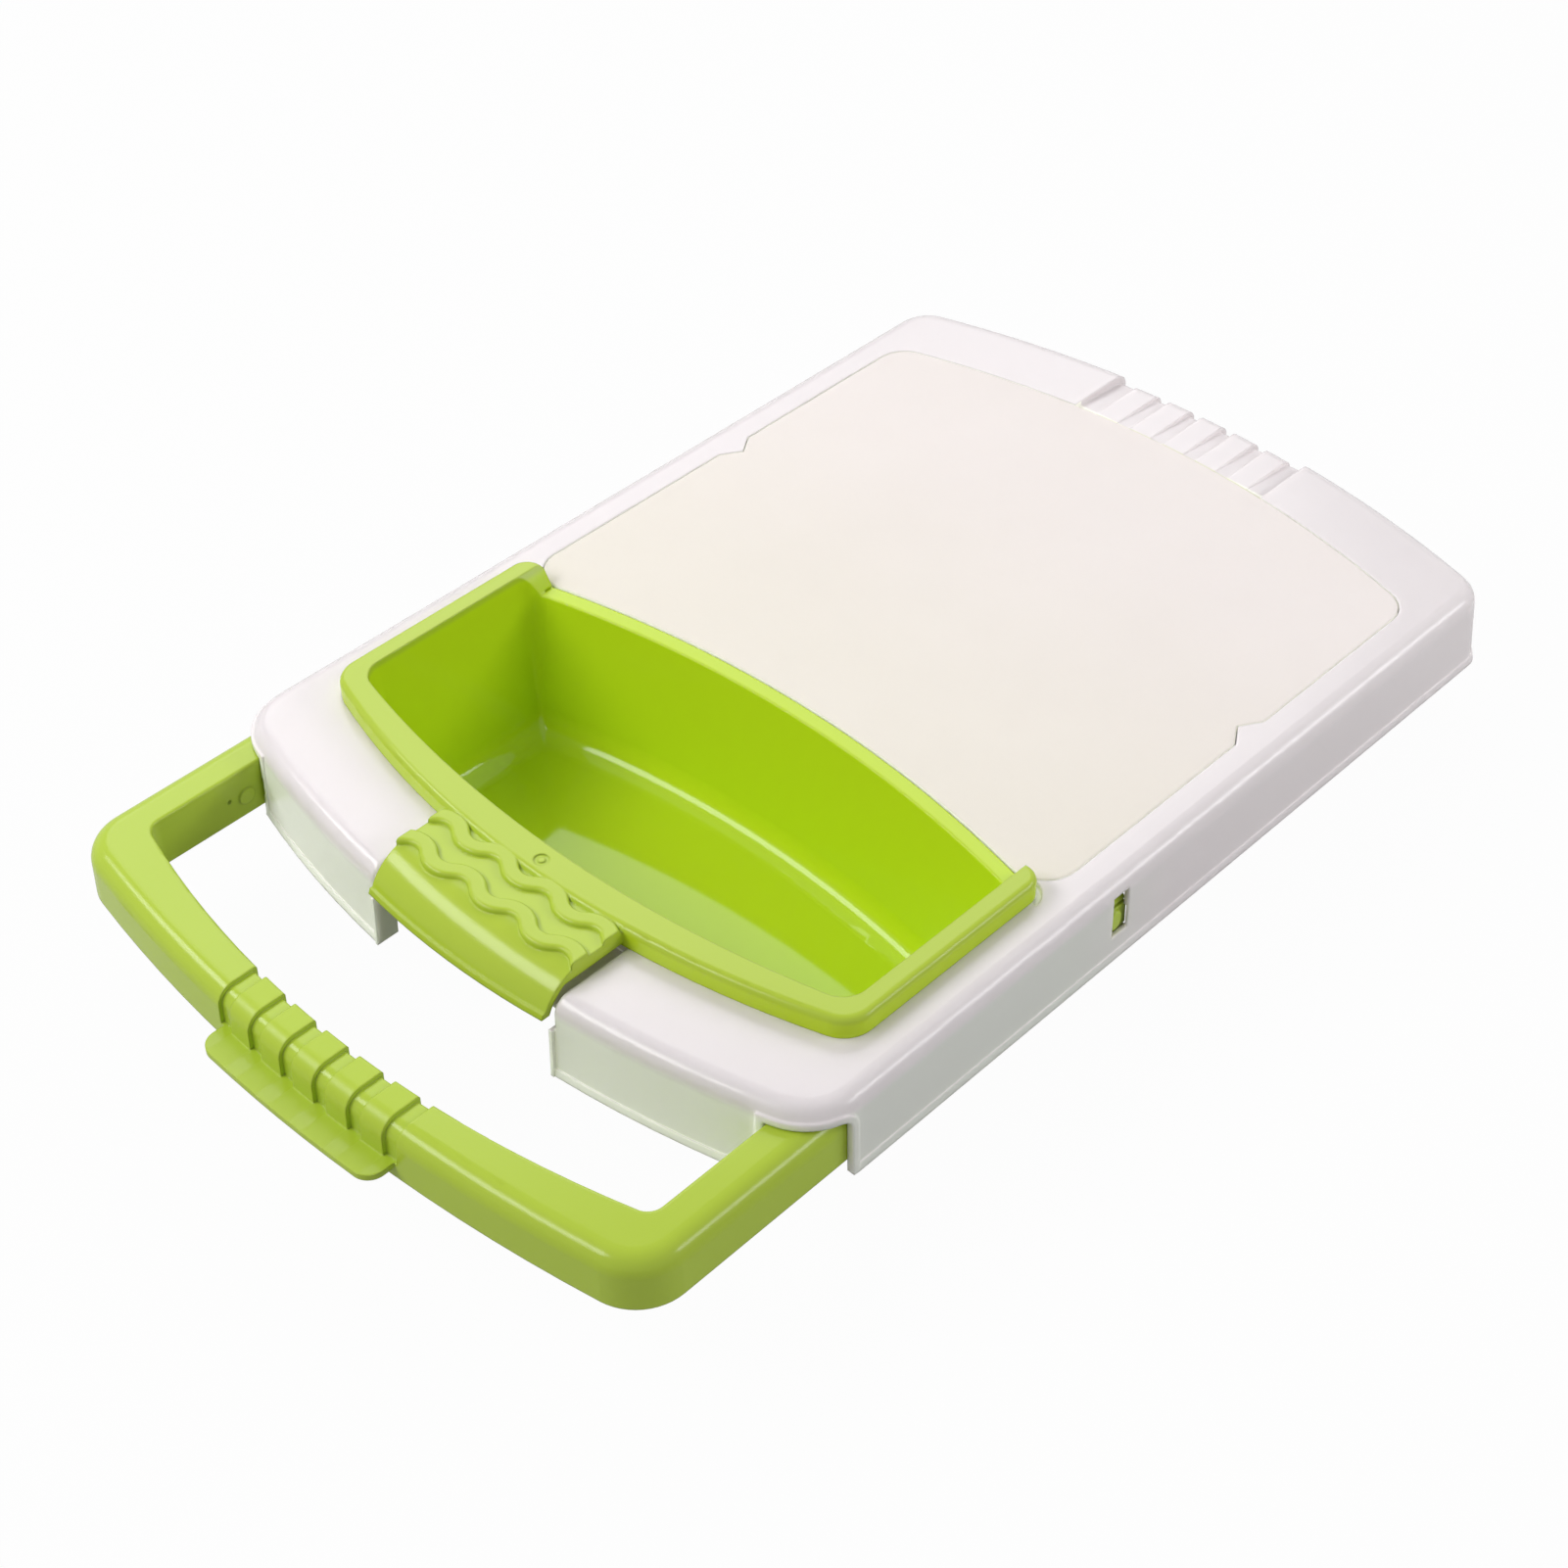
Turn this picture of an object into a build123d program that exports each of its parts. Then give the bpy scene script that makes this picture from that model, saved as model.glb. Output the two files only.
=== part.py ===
from build123d import *
import math
import os

os.makedirs("parts", exist_ok=True)

# Over-sink cutting board. Millimetres, X across, front is -Y, Z up.
# The origin is on the underside of the rear skirt, which rests on the sink's rim.

# Frame shell
FRAME_WIDTH = 254.0
FRAME_LENGTH = 369.6
FRAME_HEIGHT = 30.0
DECK_BORDER = 13.4
FRONT_BOW = 400.0
REAR_BOW = 390.0
FRONT_CORNER = 20.5
REAR_CORNER = 16.0
REAR_FOOT_CORNER = 6.5
DECK_EDGE_RADIUS = 6.0
DECK_THICKNESS = 2.4
SKIRT_WALL = 1.8
SKIRT_DRAFT = 1.5
BEAD_HEIGHT = 2.8
BEAD_OUT = 0.8
BEAD_SLOPE = 12.0
RIB_THICKNESS = 1.6
RIB_DEPTH = 8.0
RIB_SPACING = 36.0

# Cutting plate and its pocket
PLATE_THICKNESS = 4.0
PLATE_REAR_BOW = 353.0
PLATE_REAR_CORNER = 12.0
PLATE_FRONT_CORNER = 12.0
PLATE_EDGE_BREAK = 0.4
PLATE_CLEARANCE = 0.3
REAR_MARGIN = 30.0
NOTCH_FROM_REAR = 106.3
NOTCH_HALF_LENGTH = 7.6
NOTCH_DEPTH = 4.8
POCKET_FLOOR = 2.2
POCKET_WALL = 1.8

# Tray
FRONT_MARGIN = 29.3
TRAY_LENGTH = 116.8
RIM_INSET = 0.8
RIM_SIDE_BAND = 7.0
RIM_FRONT_BAND = 11.3
RIM_REAR_BAND = 5.5
RIM_HEIGHT = 7.4
RIM_WALL = 2.0
RIM_EDGE_RADIUS = 2.2
RIM_FRONT_BOW = 338.6
RIM_CORNER = 11.0
BASIN_FRONT_BOW = 404.0
BASIN_CORNER = 9.0
BASIN_DEPTH = 61.0
BASIN_WALL = 2.2
BASIN_DRAFT = 8.0
FLOOR_RADIUS = 10.0
REAR_RIM_BOW = 406.0
REAR_RIM_DROP = 0.5
REAR_RIM_THICKNESS = 2.0
REAR_RIM_EDGE = 0.8
HORN_END = 13.0
HORN_CORNER = 6.6
HORN_RAMP = 5.0
HORN_SOLID = 8.0
HORN_SEAT_GAP = 1.8
HORN_SEAT_DEPTH = 1.0
TRAY_GAP = 0.5
WELL_CLEARANCE = 1.0
WELL_DEPTH = 16.0
GATE_MARK = 2.4

# Tray tongue with two wave ribs
TONGUE_WIDTH = 76.2
TONGUE_REACH = 33.1
TONGUE_DROP = 1.7
TONGUE_ROLL = 18.0
TONGUE_BOW = 300.0
TONGUE_WALL = 2.0
TONGUE_SIDE = 4.5
LIP_HEIGHT = 1.8
LIP_OUT = 0.9
WAVE_LENGTH = 21.7
WAVE_SWING = 2.0
WAVE_BAND = 5.6
WAVE_HEIGHT = 1.6
WAVE_EDGE_RADIUS = 1.2
WAVE_FIRST = 2.2
WAVE_SPACING = 12.6

# Front gap, arm ports and snap windows in the frame
GAP_CLEARANCE = 0.6
GAP_RETURN = 7.0
GAP_WALL = 3.4
GAP_EDGE_RADIUS = 2.2
GAP_LIP_TOP = 19.0
GAP_LIP_WIDTH = 1.2
GAP_LIP_OUT = 1.2
TONGUE_LEDGE_WIDTH = 5.5
TONGUE_LEDGE_DROP = 4.2
TONGUE_LEDGE_THICKNESS = 1.8
TONGUE_LEDGE_START = 4.5
PORT_LENGTH = 32.9
PORT_HEADROOM = 0.5
PORT_CORNER = 4.0
PORT_LIP_WIDTH = 2.5
PORT_LIP_OUT = 0.6
WINDOW_FROM_FRONT = 148.7
WINDOW_LENGTH = 7.4
WINDOW_SILL = 9.0
WINDOW_HEIGHT = 16.3

# Grip pattern, shared by the handle and the frame's rear edge
GRIP_PITCH = 14.6
GRIP_BAND = 9.2
GRIP_BANDS = 5
HANDLE_GROOVE = 1.3
RECESS_WIDTH = 83.0
RECESS_DEPTH = 1.7
RECESS_GROOVE = 3.5

# Pull-out handle and its guides
HANDLE_TRAVEL = 39.0
CLOSED_GAP = 4.5
HANDLE_HEIGHT = 18.4
HANDLE_HEADROOM = 1.1
HANDLE_WALL = 2.4
HANDLE_EDGE_RADIUS = 6.4
HANDLE_INNER_EDGE = 1.0
ARM_CLEARANCE = 0.4
GUIDE_WALL = 2.2
LEDGE_WIDTH = 3.2
LEDGE_THICKNESS = 1.8
LEDGE_CLEARANCE = 0.3
HOLD_DOWN_GAP = 0.4
BAR_DEPTH = 14.6
BAR_INNER_BOW = 380.0
BAR_FRONT_BOW = 590.0
BAR_OUTER_CORNER = 18.0
BAR_INNER_CORNER = 5.5
PULL_LIP_LENGTH = 76.0
PULL_LIP_REACH = 9.4
PULL_LIP_HEIGHT = 3.7
PULL_LIP_THICKNESS = 2.0
PULL_LIP_CORNER = 6.0
NUB_LENGTH = 5.8
NUB_HEIGHT = 7.6
NUB_SILL = 9.4
NUB_OUT = 1.0
NUB_NOSE = 0.9
NUB_STOP_GAP = 0.5
NUB_CLEARANCE = 0.4
FINGER_LENGTH = 24.0
FINGER_SLIT = 1.0
ARM_TAIL = 3.0
DETENT_RADIUS = 3.0
DETENT_OUT = 0.7
DETENT_HEIGHT = 11.8
DETENT_FROM_FRONT = 8.0
PINHOLE_RADIUS = 0.8
PINHOLE_DEPTH = 0.8
PINHOLE_FROM_DETENT = 6.6
PINHOLE_HEIGHT = 13.0

# Bow of an end that has none
STRAIGHT = math.inf

# Positions that follow from the sizes above
FRAME_SPREAD = FRAME_HEIGHT * math.tan(math.radians(SKIRT_DRAFT))
FRAME_REAR = (SKIRT_WALL - BEAD_OUT) / 2 - FRAME_SPREAD
FRAME_FRONT = FRAME_REAR - FRAME_LENGTH
POCKET_Z = FRAME_HEIGHT - PLATE_THICKNESS
FLOOR_UNDER = POCKET_Z - POCKET_FLOOR
PLATE_WIDTH = FRAME_WIDTH - 2 * DECK_BORDER
RIM_WIDTH = PLATE_WIDTH - 2 * RIM_INSET
RIM_FRONT = FRAME_FRONT + FRONT_MARGIN
RIM_TOP = FRAME_HEIGHT + RIM_HEIGHT
REAR_RIM_TOP = FRAME_HEIGHT - REAR_RIM_DROP
REAR_RIM_BACK = RIM_FRONT + TRAY_LENGTH
PLATE_FRONT = REAR_RIM_BACK + TRAY_GAP
PLATE_REAR = FRAME_REAR - REAR_MARGIN
BASIN_SLOPE = math.tan(math.radians(BASIN_DRAFT))
BASIN_HALF = RIM_WIDTH / 2 - RIM_SIDE_BAND
BASIN_FRONT = RIM_FRONT + RIM_FRONT_BAND
BASIN_REAR = REAR_RIM_BACK - RIM_REAR_BAND + (RIM_TOP - REAR_RIM_TOP) * BASIN_SLOPE
BASIN_SIDE_WALL = BASIN_WALL / math.cos(math.radians(BASIN_DRAFT))
DECK_SHRINK = RIM_HEIGHT * BASIN_SLOPE
WELL_GROW = BASIN_SIDE_WALL + WELL_CLEARANCE - DECK_SHRINK
GUIDE_INNER = BASIN_HALF + WELL_GROW
GUIDE_OUTER = GUIDE_INNER + GUIDE_WALL
HORN_BACK = REAR_RIM_BACK - HORN_END
HANDLE_TOP = FLOOR_UNDER - HANDLE_HEADROOM
HANDLE_BOTTOM = HANDLE_TOP - HANDLE_HEIGHT
ARM_INNER = GUIDE_OUTER + ARM_CLEARANCE
BAR_INNER = FRAME_FRONT - FRAME_SPREAD - BEAD_OUT - CLOSED_GAP - HANDLE_TRAVEL
BAR_FRONT = BAR_INNER - BAR_DEPTH
TONGUE_TOP = RIM_TOP - TONGUE_DROP
TONGUE_FRONT = RIM_FRONT - TONGUE_REACH
LIP_BOTTOM = HANDLE_TOP + 0.7
GAP_HALF = TONGUE_WIDTH / 2 + GAP_CLEARANCE
GAP_REAR = RIM_FRONT + 3.0
PORT_TOP = HANDLE_TOP + PORT_HEADROOM
PORT_REAR = FRAME_FRONT + PORT_LENGTH
WINDOW_FRONT = FRAME_FRONT + WINDOW_FROM_FRONT
NUB_FRONT = WINDOW_FRONT + NUB_STOP_GAP
NUB_REAR = NUB_FRONT + NUB_LENGTH
ARM_REAR = NUB_REAR + ARM_TAIL
RAIL_REAR = ARM_REAR + HANDLE_TRAVEL + 3.0
DETENT_Y = FRAME_FRONT + DETENT_FROM_FRONT
LEDGE_TOP = HANDLE_BOTTOM - LEDGE_CLEARANCE


def block(x, y, z):
    """Box between two limits on each axis."""
    size = (x[1] - x[0], y[1] - y[0], z[1] - z[0])
    middle = ((x[0] + x[1]) / 2, (y[0] + y[1]) / 2, (z[0] + z[1]) / 2)
    return Pos(*middle) * Box(*size)


def both_sides(solid):
    """A form on the right and its mirror image on the left."""
    return solid + mirror(solid, about=Plane.YZ)


def sag(half, radius):
    """How far an arc falls back at a half width. A negative radius bows the other way."""
    if radius == STRAIGHT:
        return 0.0
    drop = abs(radius) - math.sqrt(radius * radius - half * half)
    return math.copysign(drop, radius)


def bowed_edge(start, middle, end):
    """Arc through three points, or a line where they are in a row."""
    if start[1] == middle[1]:
        return Line(start, end)
    return ThreePointArc(start, middle, end)


def bowed_plan(half, front, front_bow, rear, rear_bow, front_corner, rear_corner):
    """Flat outline with straight sides, bowed or straight ends and rounded corners."""
    front_end = front + sag(half, front_bow)
    rear_end = rear - sag(half, rear_bow)
    outline = [
        bowed_edge((-half, front_end), (0, front), (half, front_end)),
        Line((half, front_end), (half, rear_end)),
        bowed_edge((half, rear_end), (0, rear), (-half, rear_end)),
        Line((-half, rear_end), (-half, front_end)),
    ]
    plan = make_face(outline)
    middle = (front_end + rear_end) / 2
    if front_corner > 0:
        plan = fillet([v for v in plan.vertices() if v.Y < middle], front_corner)
    if rear_corner > 0:
        plan = fillet([v for v in plan.vertices() if v.Y > middle], rear_corner)
    return plan


def prism(plan, low, high):
    """Straight extrusion of a flat outline between two heights."""
    return Pos(0, 0, low) * extrude(plan, amount=high - low)


def top_edges(solid):
    """Edges round the highest flat face."""
    return solid.faces().sort_by(Axis.Z)[-1].edges()


# Frame


def frame_plan(grow, rear_corner):
    """Outline of the frame at deck level, grown all round."""
    return bowed_plan(
        FRAME_WIDTH / 2 + grow,
        FRAME_FRONT - grow,
        FRONT_BOW + grow,
        FRAME_REAR + grow,
        REAR_BOW + grow,
        FRONT_CORNER + grow,
        max(rear_corner + grow, 1.0),
    )


def frame_body(inset, top, edge):
    """Drafted outer form of the frame, shrunk by an inset and with a rounded top edge."""
    share = top / FRAME_HEIGHT
    corner = REAR_FOOT_CORNER + share * (REAR_CORNER - REAR_FOOT_CORNER)
    foot = frame_plan(FRAME_SPREAD - inset, REAR_FOOT_CORNER)
    crown = frame_plan(FRAME_SPREAD * (1 - share) - inset, corner)
    body = loft([foot, Pos(0, 0, top) * crown], ruled=True)
    if edge > 0:
        body = fillet(top_edges(body), edge)
    return body


def plate_plan(grow):
    """Outline of the plate with its notches, grown all round."""
    half = PLATE_WIDTH / 2 + grow
    plan = bowed_plan(
        half,
        PLATE_FRONT - grow,
        -(REAR_RIM_BOW + TRAY_GAP - grow),
        PLATE_REAR + grow,
        PLATE_REAR_BOW + grow,
        PLATE_FRONT_CORNER + grow,
        PLATE_REAR_CORNER + grow,
    )
    slant = math.hypot(NOTCH_HALF_LENGTH, NOTCH_DEPTH) / NOTCH_HALF_LENGTH
    tip = PLATE_WIDTH / 2 - NOTCH_DEPTH + grow * slant
    mouth = half + 1.0
    spread = (mouth - tip) * NOTCH_HALF_LENGTH / NOTCH_DEPTH
    centre = PLATE_REAR - NOTCH_FROM_REAR
    notch = make_face(
        Polyline((tip, centre), (mouth, centre - spread), (mouth, centre + spread), close=True)
    )
    return plan - notch - mirror(notch, about=Plane.YZ)


def well_plan(grow):
    """Outline of the tray's well in the deck, grown all round."""
    return bowed_plan(
        GUIDE_INNER + grow,
        BASIN_FRONT - WELL_GROW - grow,
        BASIN_FRONT_BOW + WELL_GROW + grow,
        BASIN_REAR + WELL_GROW + grow,
        REAR_RIM_BOW + grow,
        BASIN_CORNER + grow,
        BASIN_CORNER + grow,
    )


def rear_rim_plan(grow, half, start):
    """Band from inside the well back to the tray's rear rim, grown at the back."""
    back = REAR_RIM_BACK + grow
    return bowed_plan(half, start, STRAIGHT, back, REAR_RIM_BOW + grow, 0, 0)


def grip_grooves(half, y, z):
    """Slabs where the grip pattern is cut, out to a half width."""
    slabs = []
    band_half = GRIP_BAND / 2
    for step in range(GRIP_BANDS + 1):
        low = (step - GRIP_BANDS / 2 - 0.5) * GRIP_PITCH + band_half
        high = low + GRIP_PITCH - GRIP_BAND
        low = -half if step == 0 else low
        high = half if step == GRIP_BANDS else high
        slabs.append(block((low, high), y, z))
    return slabs


def frame_inside():
    """Pocket tub, well walls, guides and ribs, before they are trimmed to the shell."""
    deck_root = FRAME_HEIGHT - DECK_THICKNESS / 2
    seat_half = BASIN_HALF - 0.3
    tub = prism(plate_plan(PLATE_CLEARANCE + POCKET_WALL), FLOOR_UNDER, deck_root)
    seat = prism(rear_rim_plan(3.0, seat_half + POCKET_WALL, BASIN_REAR - 20.0), FLOOR_UNDER, deck_root)
    well = prism(well_plan(GUIDE_WALL), FRAME_HEIGHT - WELL_DEPTH, deck_root)
    strip = block(
        (-GAP_HALF - 2.0, GAP_HALF + 2.0),
        (GAP_REAR, BASIN_FRONT),
        (FRAME_HEIGHT - DECK_THICKNESS - 1.0, deck_root),
    )
    inside = tub + seat + well + strip

    guide = block(
        (GUIDE_INNER, GUIDE_OUTER),
        (FRAME_FRONT, RAIL_REAR),
        (LEDGE_TOP - LEDGE_THICKNESS, deck_root - 1.0),
    )
    ledge = block(
        (GUIDE_INNER, GUIDE_OUTER + LEDGE_WIDTH),
        (PORT_REAR, RAIL_REAR),
        (LEDGE_TOP - LEDGE_THICKNESS, LEDGE_TOP),
    )
    inside += both_sides(guide + ledge)

    count = int((RAIL_REAR - PORT_REAR) // RIB_SPACING)
    for step in range(count + 1):
        y = PORT_REAR + 6.0 + step * RIB_SPACING
        rib = block(
            (GUIDE_INNER + 1.0, FRAME_WIDTH / 2),
            (y, y + RIB_THICKNESS),
            (HANDLE_TOP + HOLD_DOWN_GAP, deck_root),
        )
        inside += both_sides(rib)

    rib_low = FLOOR_UNDER - RIB_DEPTH
    cross = int((PLATE_REAR - PLATE_FRONT) // RIB_SPACING)
    for step in range(1, cross + 1):
        y = PLATE_FRONT + step * RIB_SPACING
        inside += block(
            (-GUIDE_INNER - 1, GUIDE_INNER + 1),
            (y, y + RIB_THICKNESS),
            (rib_low, POCKET_Z - 1.0),
        )
    for step in range(3):
        x = step * RIB_SPACING
        low, high = x - RIB_THICKNESS / 2, x + RIB_THICKNESS / 2
        start = REAR_RIM_BACK - RIM_REAR_BAND + 4.0 - sag(x, REAR_RIM_BOW)
        rib = block((low, high), (start, FRAME_REAR), (rib_low, POCKET_Z - 1.0))
        pocket_end = PLATE_REAR - sag(x, PLATE_REAR_BOW)
        tail = block((low, high), (pocket_end, FRAME_REAR), (rib_low, deck_root))
        inside += rib + tail if step == 0 else both_sides(rib + tail)
    return inside


def grip_backing():
    """Thicker wall behind the scalloped grip at the rear edge."""
    thick = RECESS_GROOVE + DECK_THICKNESS
    skin = frame_body(SKIRT_WALL / 2, FRAME_HEIGHT - 1.0, DECK_EDGE_RADIUS - 1.0)
    skin -= frame_body(thick, FRAME_HEIGHT - thick, 1.0)
    half = RECESS_WIDTH / 2 + 2.0
    return skin & block((-half, half), (PLATE_REAR - 6.0, FRAME_REAR + 5.0), (8.0, FRAME_HEIGHT))


def grip_cut():
    """Recess with faded scallops taken out of the rear edge."""
    half = RECESS_WIDTH / 2
    y = (PLATE_REAR - 12.0, FRAME_REAR + 5.0)
    z = (10.0, FRAME_HEIGHT + 2.0)
    kept = frame_body(RECESS_DEPTH, FRAME_HEIGHT - RECESS_DEPTH, DECK_EDGE_RADIUS - 1.0)
    cut = block((-half, half), y, z) - kept
    deep = frame_body(RECESS_GROOVE, FRAME_HEIGHT - RECESS_GROOVE, DECK_EDGE_RADIUS - 1.0)
    ramp_end = FRAME_REAR - RECESS_GROOVE - 2.0
    ramp = Polyline(
        (PLATE_REAR - 20.0, 5.0),
        (ramp_end, 5.0),
        (ramp_end, FRAME_HEIGHT - RECESS_GROOVE),
        (PLATE_REAR - 2.0, FRAME_HEIGHT - RECESS_DEPTH),
        (PLATE_REAR - 20.0, FRAME_HEIGHT - RECESS_DEPTH),
        close=True,
    )
    wedge = extrude(Plane.YZ * make_face(ramp), amount=FRAME_WIDTH / 4, both=True)
    for slab in grip_grooves(half, y, z):
        cut += slab - deep - wedge
    return cut


def gapped_form():
    """Solid outer form with the front gap cut, its edges rounded at the deck and sharp lower down."""
    form = frame_body(0, FRAME_HEIGHT, DECK_EDGE_RADIUS)
    form -= block((-GAP_HALF, GAP_HALF), (FRAME_FRONT - 20, BASIN_REAR), (-5, FRAME_HEIGHT + 5))
    rims = []
    for edge in form.edges():
        spot = edge @ 0.5
        off_middle = abs(abs(spot.X) - GAP_HALF)
        off_start = abs(abs((edge @ 0).X) - GAP_HALF)
        at_gap = max(off_middle, off_start) < 0.01
        if at_gap and spot.Z > 1.0 and spot.Y < BASIN_REAR - 1.0:
            rims.append(edge)
    corner = block(
        (GAP_HALF, GAP_HALF + 2 * GAP_EDGE_RADIUS),
        (FRAME_FRONT - 20, GAP_REAR),
        (-5, GAP_LIP_TOP),
    )
    return fillet(rims, GAP_EDGE_RADIUS) + (form & both_sides(corner))


def gap_trim():
    """Bead up both sides of the front gap, and ledges under the sides of the tongue."""
    lip = block(
        (GAP_HALF, GAP_HALF + GAP_LIP_WIDTH),
        (FRAME_FRONT - 20, FRAME_FRONT + SKIRT_WALL + sag(GAP_HALF, FRONT_BOW)),
        (0, GAP_LIP_TOP),
    )
    lip = lip & frame_body(-GAP_LIP_OUT, FRAME_HEIGHT, 0)
    top = FRAME_HEIGHT - TONGUE_LEDGE_DROP
    ledge = block(
        (GAP_HALF - TONGUE_LEDGE_WIDTH, GAP_HALF + GAP_WALL / 2),
        (FRAME_FRONT + TONGUE_LEDGE_START, GAP_REAR),
        (top - TONGUE_LEDGE_THICKNESS, top),
    )
    return both_sides(lip + ledge)


def arm_ports(grow):
    """Openings for the handle's arms round both front corners, grown at the rims."""
    port = block(
        (GUIDE_OUTER - grow, FRAME_WIDTH),
        (FRAME_FRONT - 20, PORT_REAR + grow),
        (-5, PORT_TOP + grow),
    )
    top = port.edges().filter_by(Axis.X).group_by(Axis.Z)[-1]
    return both_sides(fillet(top.sort_by(Axis.Y)[-1:], PORT_CORNER + grow))


def make_frame():
    """The board frame as one moulding."""
    hollow = frame_body(SKIRT_WALL, FRAME_HEIGHT - DECK_THICKNESS, DECK_EDGE_RADIUS - SKIRT_WALL)
    trim = frame_body(SKIRT_WALL / 2, FRAME_HEIGHT - DECK_THICKNESS / 2, DECK_EDGE_RADIUS - 1.0)
    gap_side = GAP_HALF + GAP_WALL
    liner = block((-gap_side, gap_side), (FRAME_FRONT - 5, GAP_REAR), (-5, FRAME_HEIGHT))
    liner -= frame_body(GAP_RETURN, FRAME_HEIGHT - GAP_RETURN, 0)
    ports = arm_ports(0)
    shell = gapped_form() - (hollow - liner) - ports

    foot = frame_plan(FRAME_SPREAD + BEAD_OUT, REAR_FOOT_CORNER)
    bead = extrude(foot, amount=BEAD_HEIGHT, taper=BEAD_SLOPE)
    bead -= block((-GAP_HALF, GAP_HALF), (FRAME_FRONT - 20, BASIN_REAR), (-5, FRAME_HEIGHT))
    shell += bead - hollow - ports
    shell += gap_trim()
    lips = frame_body(-PORT_LIP_OUT, PORT_TOP + PORT_LIP_WIDTH + 1.0, 0) - hollow
    shell += lips & (arm_ports(PORT_LIP_WIDTH) - ports)

    frame = shell + (frame_inside() & trim) + grip_backing()

    frame -= prism(plate_plan(PLATE_CLEARANCE), POCKET_Z, FRAME_HEIGHT + 5)
    frame -= prism(rear_rim_plan(2.0, BASIN_HALF - 0.3, BASIN_REAR - 30.0), POCKET_Z, FRAME_HEIGHT + 5)
    frame -= prism(well_plan(0), -5, FRAME_HEIGHT + 5)
    seats = prism(rim_plan(-HORN_SEAT_GAP), FRAME_HEIGHT - HORN_SEAT_DEPTH, FRAME_HEIGHT + 5)
    seat_zone = (HORN_BACK - HORN_CORNER, HORN_BACK + 5.0)
    frame -= seats & block((-FRAME_WIDTH, FRAME_WIDTH), seat_zone, (0, FRAME_HEIGHT + 5))
    frame -= grip_cut()

    window = block(
        (GUIDE_OUTER + 12.0, FRAME_WIDTH),
        (WINDOW_FRONT, WINDOW_FRONT + WINDOW_LENGTH),
        (WINDOW_SILL, WINDOW_SILL + WINDOW_HEIGHT),
    )
    run = block(
        (GUIDE_OUTER + 10.0, FRAME_WIDTH),
        (WINDOW_FRONT, NUB_REAR + HANDLE_TRAVEL + 1.0),
        (NUB_SILL - 0.6, NUB_SILL + NUB_HEIGHT + 0.6),
    )
    depth = NUB_OUT - ARM_CLEARANCE + NUB_CLEARANCE
    run = run & frame_body(SKIRT_WALL - depth, FRAME_HEIGHT, 0)
    detent_run = block(
        (GUIDE_OUTER - DETENT_OUT - NUB_CLEARANCE + ARM_CLEARANCE, GUIDE_OUTER + 1.0),
        (FRAME_FRONT - 1.0, DETENT_Y + HANDLE_TRAVEL + DETENT_RADIUS + 1.0),
        (DETENT_HEIGHT - DETENT_RADIUS - 0.6, DETENT_HEIGHT + DETENT_RADIUS + 0.6),
    )
    return frame - both_sides(window + run) - both_sides(detent_run)


# Cutting plate


def make_plate():
    """Flat plate with broken edges."""
    plate = prism(plate_plan(0), POCKET_Z, FRAME_HEIGHT)
    faces = plate.faces().filter_by(Axis.Z)
    return chamfer(faces.sort_by(Axis.Z)[-1].edges(), PLATE_EDGE_BREAK)


# Tray


def basin_plan(grow):
    """Inner outline of the basin at the rim's top, grown all round."""
    return bowed_plan(
        BASIN_HALF + grow,
        BASIN_FRONT - grow,
        BASIN_FRONT_BOW + grow,
        BASIN_REAR + grow,
        REAR_RIM_BOW - RIM_REAR_BAND + grow,
        BASIN_CORNER + grow,
        BASIN_CORNER + grow,
    )


def basin_body(grow, depth, edge):
    """Drafted basin form hanging from the rim's top, with a rounded floor edge."""
    body = extrude(basin_plan(grow), amount=depth, dir=(0, 0, -1), taper=BASIN_DRAFT)
    body = fillet(body.faces().sort_by(Axis.Z)[0].edges(), edge)
    return Pos(0, 0, RIM_TOP) * body


def rim_plan(inset):
    """Outer outline of the raised rim, open at the back between the horns."""
    half = RIM_WIDTH / 2 - inset
    back = HORN_BACK - inset
    plan = bowed_plan(
        half,
        RIM_FRONT + inset,
        RIM_FRONT_BOW - inset,
        back,
        STRAIGHT,
        RIM_CORNER - inset,
        HORN_CORNER - inset,
    )
    return plan


def wave_edge(y, shift):
    """Chain of tangent arcs for one edge of a wave, shifted off its middle line."""
    quarter = WAVE_LENGTH / 4
    radius = (quarter * quarter + WAVE_SWING * WAVE_SWING) / (2 * WAVE_SWING)
    waves = math.ceil(TONGUE_WIDTH / WAVE_LENGTH / 2 + 0.5)
    arcs = []
    for step in range(-2 * waves, 2 * waves + 1):
        side = 1 if step % 2 else -1
        x = step * 2 * quarter
        centre = y + side * (WAVE_SWING - radius)
        reach = (radius + side * shift) / radius
        foot = centre + reach * (y - centre)
        top = centre + side * (radius + side * shift)
        start, end = (x - reach * quarter, foot), (x + reach * quarter, foot)
        arcs.append(ThreePointArc(start, (x, top), end))
    return arcs


def wave_rib(y):
    """Raised wave across the tongue, longer than the tongue is wide."""
    front = wave_edge(y, -WAVE_BAND / 2)
    rear = wave_edge(y, WAVE_BAND / 2)
    ends = [Line(front[-1] @ 1, rear[-1] @ 1), Line(rear[0] @ 0, front[0] @ 0)]
    rib = prism(make_face(front + rear + ends), TONGUE_TOP - 1.0, TONGUE_TOP + WAVE_HEIGHT)
    return fillet(top_edges(rib), WAVE_EDGE_RADIUS)


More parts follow.
